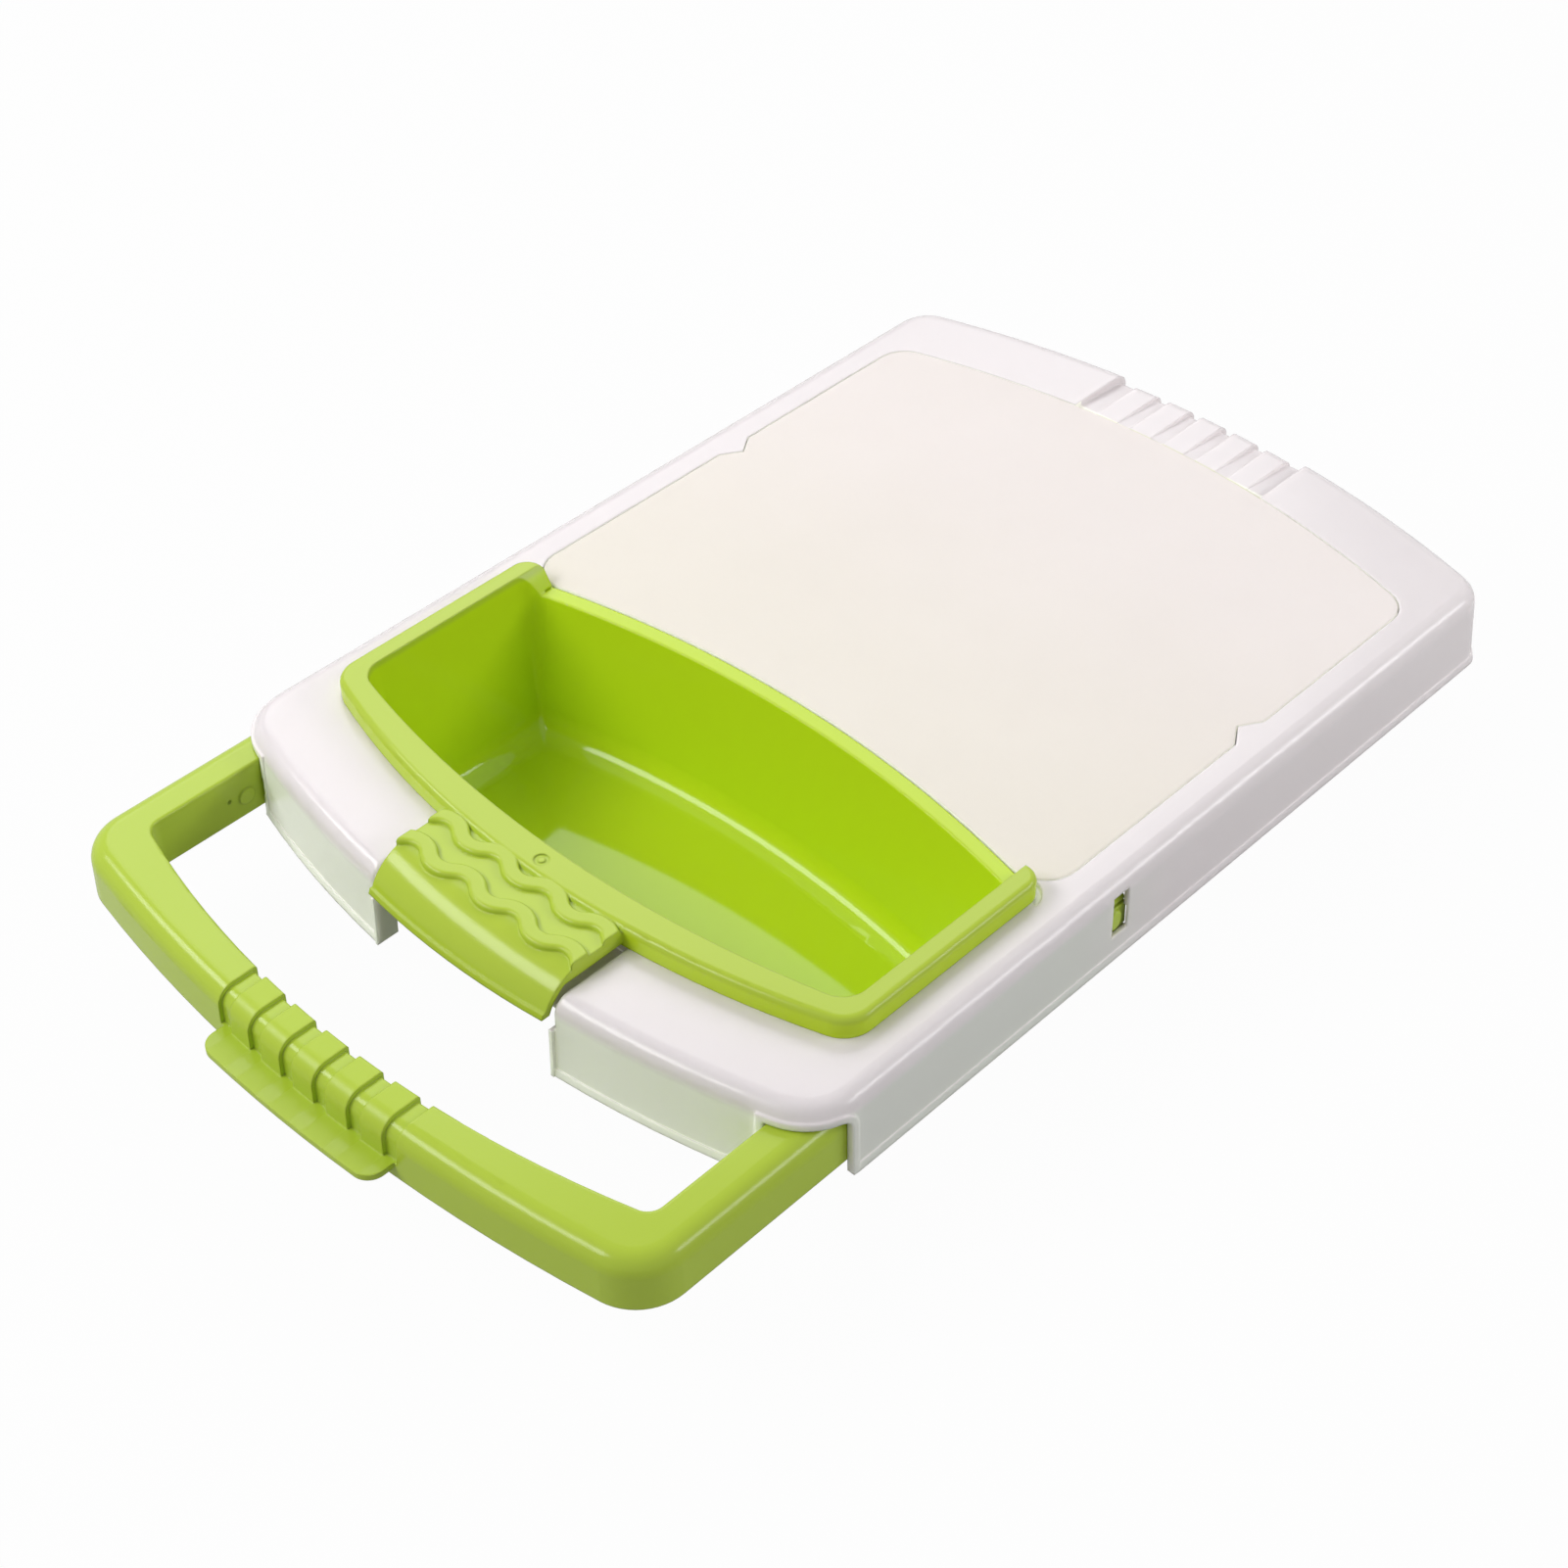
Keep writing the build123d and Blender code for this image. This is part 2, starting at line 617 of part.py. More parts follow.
def tongue_form(inset, half):
    """Rolled front form of the tongue, shrunk by an inset."""
    top = TONGUE_TOP - inset
    roll = TONGUE_ROLL - inset
    plan = bowed_plan(half, TONGUE_FRONT + inset, TONGUE_BOW - inset, RIM_FRONT + 6.0, STRAIGHT, 0, 0)
    body = prism(plan, top - roll - 2.0, top)
    front = [e for e in top_edges(body) if e.center().Y < TONGUE_FRONT + inset + 5.0]
    return fillet(front, roll)


def make_tongue():
    """Tongue over the front gap, with turned-down sides, a bottom lip and wave ribs."""
    half = TONGUE_WIDTH / 2
    form = tongue_form(0, half)
    tongue = form - tongue_form(TONGUE_WALL, half + 5.0)
    side = block(
        (half - TONGUE_WALL, half),
        (TONGUE_FRONT, RIM_FRONT + 4.0),
        (TONGUE_TOP - TONGUE_SIDE, RIM_TOP),
    )
    tongue += both_sides(side & form)
    lip = tongue_form(-LIP_OUT, half) - tongue_form(TONGUE_WALL, half + 5.0)
    lip &= block((-half, half), (TONGUE_FRONT - 5, RIM_FRONT), (0, LIP_BOTTOM + LIP_HEIGHT))
    tongue += lip
    first = RIM_FRONT - WAVE_FIRST
    reach = block((-half, half), (TONGUE_FRONT, RIM_FRONT + 4.0), (0, RIM_TOP))
    for step in range(2):
        tongue += wave_rib(first - step * WAVE_SPACING) & reach
    return tongue & block((-half, half), (TONGUE_FRONT - 5, RIM_FRONT + 4), (LIP_BOTTOM, RIM_TOP))


def make_tray():
    """The tray as one moulding."""
    inner = basin_body(0, BASIN_DEPTH, FLOOR_RADIUS)
    outer = basin_body(BASIN_SIDE_WALL, BASIN_DEPTH + BASIN_WALL, FLOOR_RADIUS + BASIN_WALL)

    rim = prism(rim_plan(0), FRAME_HEIGHT, RIM_TOP)
    rim = fillet(top_edges(rim), RIM_EDGE_RADIUS)
    under = prism(rim_plan(RIM_WALL), FRAME_HEIGHT - 1, RIM_TOP - RIM_WALL)
    past = REAR_RIM_BACK + 5
    solid_end = block(
        (-FRAME_WIDTH, FRAME_WIDTH),
        (HORN_BACK - HORN_SOLID, past),
        (FRAME_HEIGHT - 2, RIM_TOP),
    )
    rim -= under - outer - solid_end

    half = BASIN_HALF - 1.0
    back = prism(rear_rim_plan(0, half, BASIN_REAR - 30.0), POCKET_Z, REAR_RIM_TOP)
    below = rear_rim_plan(-RIM_WALL, half + 5.0, BASIN_REAR - 40.0)
    back -= prism(below, POCKET_Z - 1, REAR_RIM_TOP - REAR_RIM_THICKNESS)

    tray = outer + rim + back + make_tongue() - inner
    raised = (REAR_RIM_TOP, RIM_TOP + 5)
    tray -= block((-FRAME_WIDTH, FRAME_WIDTH), (HORN_BACK, past), raised)
    foot = BASIN_HALF - HORN_RAMP
    ramps = Polyline(
        (-foot, REAR_RIM_TOP),
        (foot, REAR_RIM_TOP),
        (BASIN_HALF, RIM_TOP),
        (BASIN_HALF, RIM_TOP + 5),
        (-BASIN_HALF, RIM_TOP + 5),
        (-BASIN_HALF, RIM_TOP),
        close=True,
    )
    tray -= Pos(0, past, 0) * extrude(Plane.XZ * make_face(ramps), amount=past - HORN_BACK + 20.0)
    inner_back = REAR_RIM_BACK - RIM_REAR_BAND
    brow = [
        e
        for e in tray.edges()
        if abs((e @ 0.5).Z - REAR_RIM_TOP) < 0.01 and abs((e @ 0.5).Y - inner_back) < 0.5
    ]
    tray = fillet(brow, REAR_RIM_EDGE)
    mark = Pos(0, RIM_FRONT + RIM_FRONT_BAND / 2, RIM_TOP) * Cylinder(GATE_MARK, 0.8)
    nib = Pos(0, RIM_FRONT + RIM_FRONT_BAND / 2, RIM_TOP - 0.4) * Cylinder(GATE_MARK / 2, 0.6)
    return tray - mark + nib


# Pull-out handle


def handle_inner(inset):
    """Space inside the U, grown by an inset of its walls."""
    plan = bowed_plan(
        ARM_INNER + inset,
        BAR_INNER - inset,
        BAR_INNER_BOW + inset,
        ARM_REAR + 30.0,
        STRAIGHT,
        BAR_INNER_CORNER + inset,
        0,
    )
    return prism(plan, HANDLE_BOTTOM - 5, HANDLE_TOP + 5)


def handle_body(inset, tail, outer_edge, inner_edge):
    """Drafted solid form of the handle, shrunk by an inset on its sides and top."""
    plan = bowed_plan(
        arm_face(HANDLE_BOTTOM) - inset,
        BAR_FRONT + inset,
        BAR_FRONT_BOW - inset,
        tail,
        STRAIGHT,
        BAR_OUTER_CORNER - inset,
        0,
    )
    body = extrude(plan, amount=HANDLE_HEIGHT - inset, taper=SKIRT_DRAFT)
    edges = [e for e in top_edges(body) if e.center().Y < tail - 5.0]
    body = Pos(0, 0, HANDLE_BOTTOM) * fillet(edges, outer_edge)
    body -= handle_inner(inset)
    if inner_edge > 0:
        edges = [e for e in top_edges(body) if is_inner(e)]
        body = fillet(edges, inner_edge)
    return body


def is_inner(edge):
    """True for an edge on the inside of the U."""
    spot = edge @ 0.5
    on_arm = abs(abs(spot.X) - ARM_INNER) < 0.01
    return on_arm or (abs(spot.X) < ARM_INNER and spot.Y > BAR_INNER - 0.01)


def arm_face(z):
    """Outer half width of the arms at a height."""
    low = (FRAME_HEIGHT - z) * math.tan(math.radians(SKIRT_DRAFT))
    return FRAME_WIDTH / 2 + low - SKIRT_WALL - ARM_CLEARANCE


def pull_lip():
    """Flat lip along the bar's front, for the fingers."""
    half = PULL_LIP_LENGTH / 2
    plan = bowed_plan(
        half,
        BAR_FRONT - PULL_LIP_REACH,
        BAR_FRONT_BOW,
        BAR_FRONT + HANDLE_WALL,
        STRAIGHT,
        PULL_LIP_CORNER,
        0,
    )
    low = HANDLE_BOTTOM + PULL_LIP_HEIGHT
    return prism(plan, low, low + PULL_LIP_THICKNESS)


def snap_nub():
    """Round-nosed nub on the outside of the right arm's end."""
    middle = NUB_SILL + NUB_HEIGHT / 2
    root = HANDLE_WALL / 2
    nub = extrude(SlotOverall(NUB_HEIGHT, NUB_LENGTH), amount=root + NUB_OUT)
    nub = fillet(top_edges(nub), NUB_NOSE)
    return Pos(arm_face(middle) - root, (NUB_FRONT + NUB_REAR) / 2, middle) * Rot(0, 90, 0) * nub


def finger_slits():
    """Slits above and below the nub that free the snap finger."""
    face = arm_face(NUB_SILL)
    slits = []
    for low in (NUB_SILL - 0.6 - FINGER_SLIT, NUB_SILL + NUB_HEIGHT + 0.6):
        slits.append(
            block(
                (face - HANDLE_WALL - 1.5, face + 2.0),
                (ARM_REAR - FINGER_LENGTH, ARM_REAR + 1.0),
                (low, low + FINGER_SLIT),
            )
        )
    return slits[0] + slits[1]


def make_handle():
    """The handle as one moulding, open below, with ribs, grip, lip and snap fingers."""
    solid = handle_body(0, ARM_REAR, HANDLE_EDGE_RADIUS, HANDLE_INNER_EDGE)
    hollow = handle_body(HANDLE_WALL, ARM_REAR + 8.0, HANDLE_EDGE_RADIUS - HANDLE_WALL, 0)
    handle = solid - hollow

    ribs = []
    for step in range(-3, 4):
        x = step * GRIP_PITCH * 2
        ribs.append(
            block(
                (x - RIB_THICKNESS / 2, x + RIB_THICKNESS / 2),
                (BAR_FRONT - 5.0, BAR_INNER + 25.0),
                (HANDLE_BOTTOM + 1.0, HANDLE_TOP - 1.0),
            )
        )
    y = BAR_INNER + 2 * RIB_SPACING
    while y < ARM_REAR - FINGER_LENGTH - RIB_THICKNESS:
        rib = block(
            (ARM_INNER - 1.0, FRAME_WIDTH / 2),
            (y, y + RIB_THICKNESS),
            (HANDLE_BOTTOM + 1.0, HANDLE_TOP - 1.0),
        )
        ribs.append(both_sides(rib))
        y += RIB_SPACING
    for rib in ribs:
        handle += rib & solid

    handle += pull_lip()
    half = (GRIP_BANDS - 1) / 2 * GRIP_PITCH + GRIP_PITCH - GRIP_BAND / 2
    low = HANDLE_BOTTOM + PULL_LIP_HEIGHT + PULL_LIP_THICKNESS
    kept = handle_body(HANDLE_GROOVE, ARM_REAR + 8.0, HANDLE_EDGE_RADIUS - HANDLE_GROOVE, 0)
    for slab in grip_grooves(half, (BAR_FRONT - 5.0, BAR_INNER + 8.0), (low, HANDLE_TOP + 5.0)):
        handle -= slab - kept

    handle += both_sides(snap_nub())
    handle -= both_sides(finger_slits())
    bump = Pos(ARM_INNER + 0.5 - DETENT_OUT / 2, DETENT_Y, DETENT_HEIGHT)
    bump = bump * Rot(0, 90, 0) * Cylinder(DETENT_RADIUS, 1.0 + DETENT_OUT)
    hole = Pos(ARM_INNER, DETENT_Y - PINHOLE_FROM_DETENT, PINHOLE_HEIGHT)
    hole = hole * Rot(0, 90, 0) * Cylinder(PINHOLE_RADIUS, 2 * PINHOLE_DEPTH)
    return handle + both_sides(bump) - both_sides(hole)


if __name__ == "__main__":
    export_step(make_frame(), "parts/board_frame.step")
    export_step(make_plate(), "parts/cutting_plate.step")
    export_step(make_tray(), "parts/tray.step")
    export_step(make_handle(), "parts/pull_out_handle.step")
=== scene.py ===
import bpy
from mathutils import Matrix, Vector


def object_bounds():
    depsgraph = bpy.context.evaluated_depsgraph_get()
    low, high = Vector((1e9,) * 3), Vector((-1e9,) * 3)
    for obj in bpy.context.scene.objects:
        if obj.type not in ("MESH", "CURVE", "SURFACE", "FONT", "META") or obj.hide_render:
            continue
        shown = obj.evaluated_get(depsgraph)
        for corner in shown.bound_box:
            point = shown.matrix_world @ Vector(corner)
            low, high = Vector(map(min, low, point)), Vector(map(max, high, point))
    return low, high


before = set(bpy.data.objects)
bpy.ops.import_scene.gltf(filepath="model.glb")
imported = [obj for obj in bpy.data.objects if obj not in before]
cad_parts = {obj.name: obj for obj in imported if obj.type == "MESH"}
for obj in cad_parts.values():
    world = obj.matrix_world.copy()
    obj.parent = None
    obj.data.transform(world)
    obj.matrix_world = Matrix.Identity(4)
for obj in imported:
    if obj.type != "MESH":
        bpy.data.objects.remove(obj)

cad_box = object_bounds()

# Lengths and places are in metres, in the part's own frame. Colours are linear.
# A pair of places is where a painted tint or a zone starts and where it is full.

# Camera solved from the photograph's outlines, with lens and sensor in millimetres
CAMERA_AT = (0.4681, -0.7240, 0.6113)
CAMERA_LOOK = (-0.51149, 0.53941, -0.66889)
CAMERA_LENS = 64.5
CAMERA_SENSOR = 36.0
CAMERA_NEAR = 0.01
CAMERA_FAR = 20.0

# Floor under the tray, which hangs below the frame
FLOOR_DROP = 0.0004
FLOOR_HALF = 4.0
FLOOR_GREY = (0.5, 0.5, 0.5)
FLOOR_ROUGH = 0.9
FLOOR_WHITE = 0.97
FLOOR_IN_GLOSS = 0.25

# Studio: surroundings as a light and as they are seen, then name, place, size and watts of the lamps
WHITE = (1.0, 1.0, 1.0)
WORLD_LIGHT = 0.34
WORLD_SEEN = 1.0
WORLD_IN_GLOSS = 1.0
OBJECT_MIDDLE = (0.0, -0.23, 0.0)
LAMPS = (
    ("softbox_left_rear", (-0.68, 0.28, 0.76), (1.1, 0.6), 4.7),
    ("key_left_front", (-0.55, -0.95, 0.82), (1.1, 0.32), 9.1),
    ("fill_right_rear", (0.88, 0.42, 0.54), (0.9, 0.28), 5.5),
)

# All plastics: refraction, the part of the noise that is used, and its octaves
PLASTIC_IOR = 1.49
NOISE_RANGE = (0.3, 0.7)
CLOUD_DETAIL = 3.0
FINE_DETAIL = 2.0
EDGE_SAMPLES = 6

# White frame. Grain layers are noise scale and weight.
FRAME_DARK = (0.745, 0.696, 0.709)
FRAME_LIGHT = (0.77, 0.721, 0.733)
FRAME_CLOUD = 9.0
FRAME_FINE = 900.0
FRAME_ROUGH = (0.19, 0.24)
FRAME_GLOSS = 0.45
FRAME_GRAIN = ((1500.0, 0.05), (60.0, 0.25))
FRAME_GRAIN_DEPTH = 0.00003
FRAME_EDGE = 0.0012
FRAME_GLOW = (0.8, (1.0, 0.95, 0.9), 0.003)

# Skirts: painted light standing in for light that comes through them, paler on the front skirts and
# green on the side skirts beside the arms
SKIRT_TOP = (0.0265, 0.0225)
FRONT_PAINTED_LIGHT = (0.945, 0.965, 0.88)
FRONT_FACING = (-0.6, -0.9)
FRONT_FROM = (-0.330, -0.345)
ARM_PAINTED_LIGHT = (0.70, 0.73, 0.665)
ARM_SHARE = 0.8
ARM_FACING = (0.6, 0.9)
ARM_FROM = (-0.185, -0.245)

# Walls of the seam between frame and plate: painted light, lighter where the light would cross both
# plastics
SEAM_PAINTED_LIGHT_FRAME = (0.96, 0.95, 0.88)
SEAM_PAINTED_LIGHT_PLATE = (0.96, 0.95, 0.86)
SEAM_TOP_FRAME = (0.02998, 0.0297)
SEAM_TOP_PLATE = (0.02997, 0.0297)
SEAM_FOOT = (0.0262, 0.0266)
POCKET_FRONT = (-0.250, -0.240)
POCKET_SIDE = (0.1155, 0.1145)
POCKET_REAR = (-0.0285, -0.0293)

# Painted shade: a yellow-green line between the plate and the rear grip, on an arc, its half width
# given as a square
LINE_PAINTED_SHADE = (0.66, 0.66, 0.42)
LINE_SHARE = 0.9
LINE_CENTRE_Y = -0.383286
LINE_INNER = (0.3524, 0.3528)
LINE_OUTER = (0.3556, 0.3545)
LINE_HALF_SQUARED = (0.00172, 0.00170)

# Cream plate, warmer in front, where a painted bounce of light from the green tray falls
PLATE_DARK_FRONT_PAINTED_BOUNCE = (0.795, 0.745, 0.660)
PLATE_DARK_REAR = (0.820, 0.758, 0.730)
PLATE_LIGHT_FRONT_PAINTED_BOUNCE = (0.815, 0.765, 0.685)
PLATE_LIGHT_REAR = (0.840, 0.778, 0.755)
PLATE_PAINTED_BOUNCE_FADE = (-0.240, -0.060)
PLATE_CLOUD = 14.0
PLATE_FINE = 1100.0
PLATE_ROUGH = (0.48, 0.60)
PLATE_GLOSS = 0.35
PLATE_GRAIN = ((1800.0, 0.8), (350.0, 0.4))
PLATE_GRAIN_DEPTH = 0.00004
PLATE_EDGE = 0.0005
PLATE_GLOW = (0.8, (1.0, 0.95, 0.85), 0.004)

# Lime tray and handle
LIME_CLOUD = 11.0
LIME_FINE = 700.0
LIME_GLOSS = 0.32
LIME_GRAIN = ((1300.0, 0.15), (45.0, 0.3))
LIME_GRAIN_DEPTH = 0.00002
LIME_EDGE = 0.001
TRAY_DARK = (0.425, 0.560, 0.036)
TRAY_LIGHT = (0.445, 0.580, 0.044)
TRAY_ROUGH = (0.13, 0.18)
HANDLE_DARK = (0.42, 0.560, 0.040)
HANDLE_LIGHT = (0.44, 0.580, 0.048)
HANDLE_ROUGH = (0.16, 0.20)

# Polished inside of the tray, below its rim and behind its tongue, its lighter, more saturated green
# a painted bounce of light between the green walls
INSIDE_PAINTED_BOUNCE_LIME = (0.51, 0.69, 0.014)
INSIDE_ROUGH = (0.045, 0.075)
INSIDE_TOP = (0.0365, 0.0345)
INSIDE_FRONT = (-0.341, -0.337)

# Satin bands of the handle's finger grip
BAND_ROUGH = (0.30, 0.36)
BAND_HALF_PITCH = 0.0073
BAND_HALF = (0.0047, 0.0045)
GRIP_HALF = (0.0345, 0.0335)
GRIP_FROM = (-0.408, -0.411)


def material(name):
    """New material with its node tree cleared down to a Principled shader."""
    mat = bpy.data.materials.new(name)
    mat.use_nodes = True
    tree = mat.node_tree
    tree.nodes.clear()
    out = tree.nodes.new("ShaderNodeOutputMaterial")
    shader = tree.nodes.new("ShaderNodeBsdfPrincipled")
    tree.links.new(shader.outputs["BSDF"], out.inputs["Surface"])
    return mat, tree, shader


def place(tree):
    """Coordinates that ride with the piece."""
    return tree.nodes.new("ShaderNodeTexCoord").outputs["Object"]


def axis(tree, where, name):
    """One axis of a vector."""
    node = tree.nodes.new("ShaderNodeSeparateXYZ")
    tree.links.new(where, node.inputs["Vector"])
    return node.outputs[name]


def facing(tree, name):
    """One axis of the surface's own direction."""
    return axis(tree, tree.nodes.new("ShaderNodeTexCoord").outputs["Normal"], name)


def noise(tree, where, scale, detail):
    """Noise of a scale per metre."""
    node = tree.nodes.new("ShaderNodeTexNoise")
    node.inputs["Scale"].default_value = scale
    node.inputs["Detail"].default_value = detail
    tree.links.new(where, node.inputs["Vector"])
    return node.outputs["Fac"]


def spread(tree, value, low, high):
    """Middle of a noise spread over a range, clamped."""
    node = tree.nodes.new("ShaderNodeMapRange")
    node.clamp = True
    keys = ("From Min", "From Max", "To Min", "To Max")
    for key, number in zip(keys, (*NOISE_RANGE, low, high)):
        node.inputs[key].default_value = number
    tree.links.new(value, node.inputs["Value"])
    return node.outputs["Result"]


def smooth(tree, value, ends):
    """Smooth step from 0 at the first end to 1 at the second."""
    node = tree.nodes.new("ShaderNodeMapRange")
    node.interpolation_type = "SMOOTHSTEP"
    node.inputs["From Min"].default_value = ends[0]
    node.inputs["From Max"].default_value = ends[1]
    tree.links.new(value, node.inputs["Value"])
    return node.outputs["Result"]


def sums(tree, kind, *values):
    """Maths on sockets and numbers."""
    node = tree.nodes.new("ShaderNodeMath")
    node.operation = kind
    for socket, value in zip(node.inputs, values):
        if isinstance(value, float):
            socket.default_value = value
        else:
            tree.links.new(value, socket)
    return node.outputs["Value"]


def product(tree, first, *others):
    """All values multiplied."""
    for other in others:
        first = sums(tree, "MULTIPLY", first, other)
    return first


def blend(tree, factor, a, b):
    """Colour between two colours by a factor."""
    node = tree.nodes.new("ShaderNodeMix")
    node.data_type = "RGBA"
    tree.links.new(factor, node.inputs["Factor"])
    for key, value in (("A", a), ("B", b)):
        socket = [s for s in node.inputs if s.name == key and s.type == "RGBA"][0]
        if isinstance(value, tuple):
            socket.default_value = (*value, 1.0)
        else:
            tree.links.new(value, socket)
    return [s for s in node.outputs if s.type == "RGBA"][0]


def clouds(tree, where, scale):
    """Broad uneven patches, 0 to 1."""
    return spread(tree, noise(tree, where, scale, CLOUD_DETAIL), 0.0, 1.0)


def grain(tree, shader, where, layers, depth, edge):
    """Fine moulded texture as a bump of noise layers, over edges rounded by a small radius."""
    parts = [
        sums(tree, "MULTIPLY", noise(tree, where, scale, FINE_DETAIL), weight)
        for scale, weight in layers
    ]
    soft = tree.nodes.new("ShaderNodeBevel")
    soft.samples = EDGE_SAMPLES
    soft.inputs["Radius"].default_value = edge
    bump = tree.nodes.new("ShaderNodeBump")
    bump.inputs["Strength"].default_value = 1.0
    bump.inputs["Distance"].default_value = depth
    tree.links.new(sums(tree, "ADD", *parts), bump.inputs["Height"])
    tree.links.new(soft.outputs["Normal"], bump.inputs["Normal"])
    tree.links.new(bump.outputs["Normal"], shader.inputs["Normal"])


def surface(tree, shader, colour, rough, gloss):
    """Colour, roughness and strength of the gloss of a plastic."""
    tree.links.new(colour, shader.inputs["Base Color"])
    tree.links.new(rough, shader.inputs["Roughness"])
    shader.inputs["IOR"].default_value = PLASTIC_IOR
    shader.inputs["Specular IOR Level"].default_value = gloss


def translucent(shader, weight, radius, scale):
    """Light that enters the plastic and comes out a little further on."""
    shader.subsurface_method = "BURLEY"
    shader.inputs["Subsurface Weight"].default_value = weight
    shader.inputs["Subsurface Radius"].default_value = radius
    shader.inputs["Subsurface Scale"].default_value = scale


def rear_line(tree, x, y):
    """1 on the narrow arc between the plate and the rear grip."""
    behind = sums(tree, "SUBTRACT", y, LINE_CENTRE_Y)
    across = sums(tree, "MULTIPLY", x, x)
    arc = sums(tree, "SQRT", sums(tree, "ADD", across, sums(tree, "MULTIPLY", behind, behind)))
    return product(
        tree,
        smooth(tree, arc, LINE_INNER),
        smooth(tree, arc, LINE_OUTER),
        smooth(tree, across, LINE_HALF_SQUARED),
    )


def white_plastic():
    """Slightly see-through white, with painted light where green or cream plastic lies close behind
    it, and a painted yellow-green shade line at the rear grip.
    """
    mat, tree, shader = material("frame_white")
    where = place(tree)
    x, y, z = (axis(tree, where, name) for name in "XYZ")
    base = blend(tree, clouds(tree, where, FRAME_CLOUD), FRAME_DARK, FRAME_LIGHT)

    skirt = smooth(tree, z, SKIRT_TOP)
    # Painted light: pale green-white on the front-facing skirts
    to_front = smooth(tree, facing(tree, "Y"), FRONT_FACING)
    front = product(tree, to_front, smooth(tree, y, FRONT_FROM), skirt)
    base = blend(tree, front, base, FRONT_PAINTED_LIGHT)

    # Painted light: green cast on the side-facing skirts beside the handle's arms
    to_side = smooth(tree, sums(tree, "ABSOLUTE", facing(tree, "X")), ARM_FACING)
    arm = product(tree, to_side, smooth(tree, y, ARM_FROM), skirt, ARM_SHARE)
    base = blend(tree, arm, base, ARM_PAINTED_LIGHT)

    # Painted light on the frame's walls of the seam round the plate
    seam = product(
        tree,
        smooth(tree, z, SEAM_TOP_FRAME),
        smooth(tree, z, SEAM_FOOT),
        smooth(tree, y, POCKET_FRONT),
        smooth(tree, sums(tree, "ABSOLUTE", x), POCKET_SIDE),
        smooth(tree, y, POCKET_REAR),
    )
    base = blend(tree, seam, base, SEAM_PAINTED_LIGHT_FRAME)
    # Painted shade: yellow-green line between the plate and the rear grip
    base = blend(tree, product(tree, rear_line(tree, x, y), LINE_SHARE), base, LINE_PAINTED_SHADE)

    rough = spread(tree, noise(tree, where, FRAME_FINE, FINE_DETAIL), *FRAME_ROUGH)
    surface(tree, shader, base, rough, FRAME_GLOSS)
    translucent(shader, *FRAME_GLOW)
    grain(tree, shader, where, FRAME_GRAIN, FRAME_GRAIN_DEPTH, FRAME_EDGE)
    return mat


def cream_plastic():
    """Matt cream board with a fine even texture, painted light on its edges in the seam, and a
    painted bounce of warm light in front.
    """
    mat, tree, shader = material("plate_cream")
    where = place(tree)
    # Painted bounce light: warmer, yellower towards the front, next to the green tray
    rear = smooth(tree, axis(tree, where, "Y"), PLATE_PAINTED_BOUNCE_FADE)
    dark = blend(tree, rear, PLATE_DARK_FRONT_PAINTED_BOUNCE, PLATE_DARK_REAR)
    light = blend(tree, rear, PLATE_LIGHT_FRONT_PAINTED_BOUNCE, PLATE_LIGHT_REAR)
    base = blend(tree, clouds(tree, where, PLATE_CLOUD), dark, light)

    z = axis(tree, where, "Z")
    # Painted light on the plate's side walls in the seam
    seam = product(tree, smooth(tree, z, SEAM_TOP_PLATE), smooth(tree, z, SEAM_FOOT))
    base = blend(tree, seam, base, SEAM_PAINTED_LIGHT_PLATE)

    rough = spread(tree, noise(tree, where, PLATE_FINE, FINE_DETAIL), *PLATE_ROUGH)
    surface(tree, shader, base, rough, PLATE_GLOSS)
    translucent(shader, *PLATE_GLOW)
    grain(tree, shader, where, PLATE_GRAIN, PLATE_GRAIN_DEPTH, PLATE_EDGE)
    return mat


def tray_inside(tree, where):
    """1 in the tray's basin."""
    below = smooth(tree, axis(tree, where, "Z"), INSIDE_TOP)
    return product(tree, below, smooth(tree, axis(tree, where, "Y"), INSIDE_FRONT))


def grip_bands(tree, where):
    """1 on the raised bands of the finger grip."""
    x = axis(tree, where, "X")
    return product(
        tree,
        smooth(tree, sums(tree, "PINGPONG", x, BAND_HALF_PITCH), BAND_HALF),
        smooth(tree, sums(tree, "ABSOLUTE", x), GRIP_HALF),
        smooth(tree, axis(tree, where, "Y"), GRIP_FROM),
    )


def lime_plastic(name, dark, light, rough, zone, zone_rough, zone_painted_light=None):
    """Lime green moulding with faint clouds, and a zone with its own roughness and, where given, a
    colour of painted bounce light.
    """
    mat, tree, shader = material(name)
    where = place(tree)
    base = blend(tree, clouds(tree, where, LIME_CLOUD), dark, light)
    fine = noise(tree, where, LIME_FINE, FINE_DETAIL)
    skin = spread(tree, fine, *rough)
    there = zone(tree, where)
    # A zone colour is painted bounce light
    if zone_painted_light:
        base = blend(tree, there, base, zone_painted_light)
    change = sums(tree, "SUBTRACT", spread(tree, fine, *zone_rough), skin)
    skin = sums(tree, "ADD", skin, sums(tree, "MULTIPLY", there, change))
    surface(tree, shader, base, skin, LIME_GLOSS)
    grain(tree, shader, where, LIME_GRAIN, LIME_GRAIN_DEPTH, LIME_EDGE)
    return mat


def dress(node, mat):
    """Gives a CAD node its material."""
    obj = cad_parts[node]
    obj.data.materials.clear()
    obj.data.materials.append(mat)


def seen_directly(tree, in_gloss):
    """1 for rays from the camera or through glass, a share of it in gloss, 0 for rays that light."""
    ray = tree.nodes.new("ShaderNodeLightPath").outputs
    direct = sums(tree, "MAXIMUM", ray["Is Camera Ray"], ray["Is Transmission Ray"])
    return sums(tree, "MAXIMUM", direct, sums(tree, "MULTIPLY", ray["Is Glossy Ray"], in_gloss))


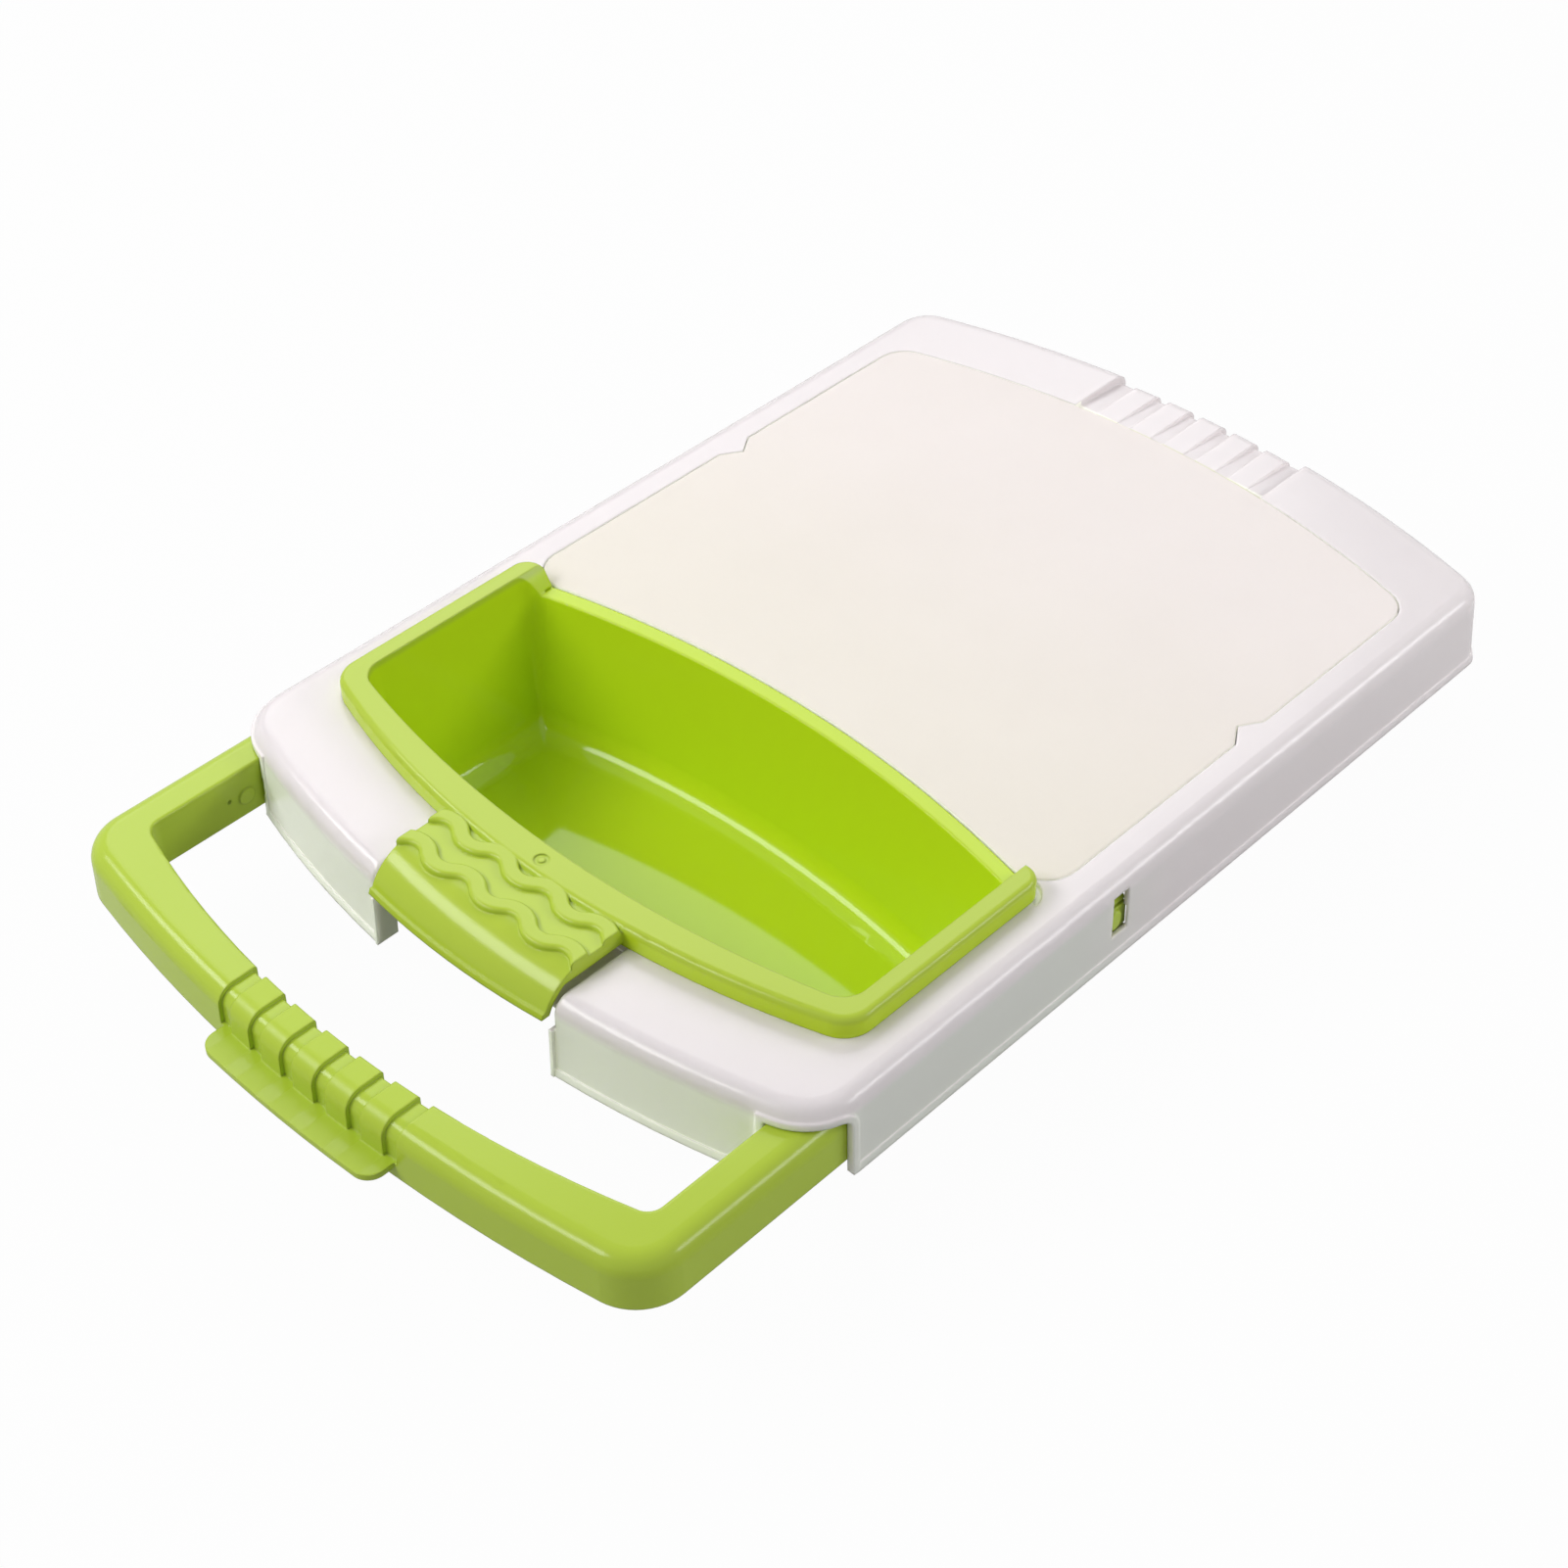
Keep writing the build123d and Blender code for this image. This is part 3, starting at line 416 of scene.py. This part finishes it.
def stage_floor():
    """Pale floor that looks white and keeps a faint shadow of the object."""
    low = cad_box[0][2] - FLOOR_DROP
    turns = ((-1, -1), (1, -1), (1, 1), (-1, 1))
    corners = [(x * FLOOR_HALF, y * FLOOR_HALF, low) for x, y in turns]
    mesh = bpy.data.meshes.new("floor")
    mesh.from_pydata(corners, [], [(0, 1, 2, 3)])
    floor = bpy.data.objects.new("floor", mesh)
    bpy.context.scene.collection.objects.link(floor)

    mat, tree, shader = material("floor_pale")
    shader.inputs["Base Color"].default_value = (*FLOOR_GREY, 1.0)
    shader.inputs["Roughness"].default_value = FLOOR_ROUGH
    glow = tree.nodes.new("ShaderNodeEmission")
    glow.inputs["Color"].default_value = (*WHITE, 1.0)
    glow.inputs["Strength"].default_value = 1.0
    pick = tree.nodes.new("ShaderNodeMixShader")
    out = [n for n in tree.nodes if n.type == "OUTPUT_MATERIAL"][0]
    seen = product(tree, seen_directly(tree, FLOOR_IN_GLOSS), FLOOR_WHITE)
    tree.links.new(seen, pick.inputs["Fac"])
    tree.links.new(shader.outputs["BSDF"], pick.inputs[1])
    tree.links.new(glow.outputs["Emission"], pick.inputs[2])
    tree.links.new(pick.outputs["Shader"], out.inputs["Surface"])
    mesh.materials.append(mat)


def area_light(name, at, size, watts):
    """Rectangular softbox aimed at the object's middle."""
    data = bpy.data.lights.new(name, "AREA")
    data.shape = "RECTANGLE"
    data.size, data.size_y = size
    data.energy = watts
    lamp = bpy.data.objects.new(name, data)
    lamp.location = at
    aim = Vector(OBJECT_MIDDLE) - Vector(at)
    lamp.rotation_euler = aim.to_track_quat("-Z", "Y").to_euler()
    bpy.context.scene.collection.objects.link(lamp)


def studio():
    """Even white surroundings, a large softbox from the left rear, and two strips for the edges."""
    world = bpy.data.worlds.new("studio")
    bpy.context.scene.world = world
    world.use_nodes = True
    tree = world.node_tree
    tree.nodes.clear()
    out = tree.nodes.new("ShaderNodeOutputWorld")
    pick = tree.nodes.new("ShaderNodeMixShader")
    tree.links.new(seen_directly(tree, WORLD_IN_GLOSS), pick.inputs["Fac"])
    for socket, strength in zip(pick.inputs[1:], (WORLD_LIGHT, WORLD_SEEN)):
        shade = tree.nodes.new("ShaderNodeBackground")
        shade.inputs["Color"].default_value = (*WHITE, 1.0)
        shade.inputs["Strength"].default_value = strength
        tree.links.new(shade.outputs["Background"], socket)
    tree.links.new(pick.outputs["Shader"], out.inputs["Surface"])
    for lamp in LAMPS:
        area_light(*lamp)


def camera():
    """Camera at the photograph's view."""
    data = bpy.data.cameras.new("camera")
    data.lens = CAMERA_LENS
    data.sensor_width = CAMERA_SENSOR
    data.sensor_fit = "HORIZONTAL"
    data.clip_start = CAMERA_NEAR
    data.clip_end = CAMERA_FAR
    cam = bpy.data.objects.new("camera", data)
    cam.location = CAMERA_AT
    cam.rotation_euler = Vector(CAMERA_LOOK).to_track_quat("-Z", "Y").to_euler()
    bpy.context.scene.collection.objects.link(cam)
    bpy.context.scene.camera = cam


bpy.context.scene.view_settings.view_transform = "Standard"
dress("board_frame", white_plastic())
dress("cutting_plate", cream_plastic())
# The tray's inside gets a lighter, more saturated green: painted bounce light
tray_lime = lime_plastic(
    "tray_lime", TRAY_DARK, TRAY_LIGHT, TRAY_ROUGH, tray_inside, INSIDE_ROUGH, INSIDE_PAINTED_BOUNCE_LIME
)
dress("tray", tray_lime)
handle_lime = lime_plastic(
    "handle_lime", HANDLE_DARK, HANDLE_LIGHT, HANDLE_ROUGH, grip_bands, BAND_ROUGH
)
dress("pull_out_handle", handle_lime)
stage_floor()
studio()
camera()
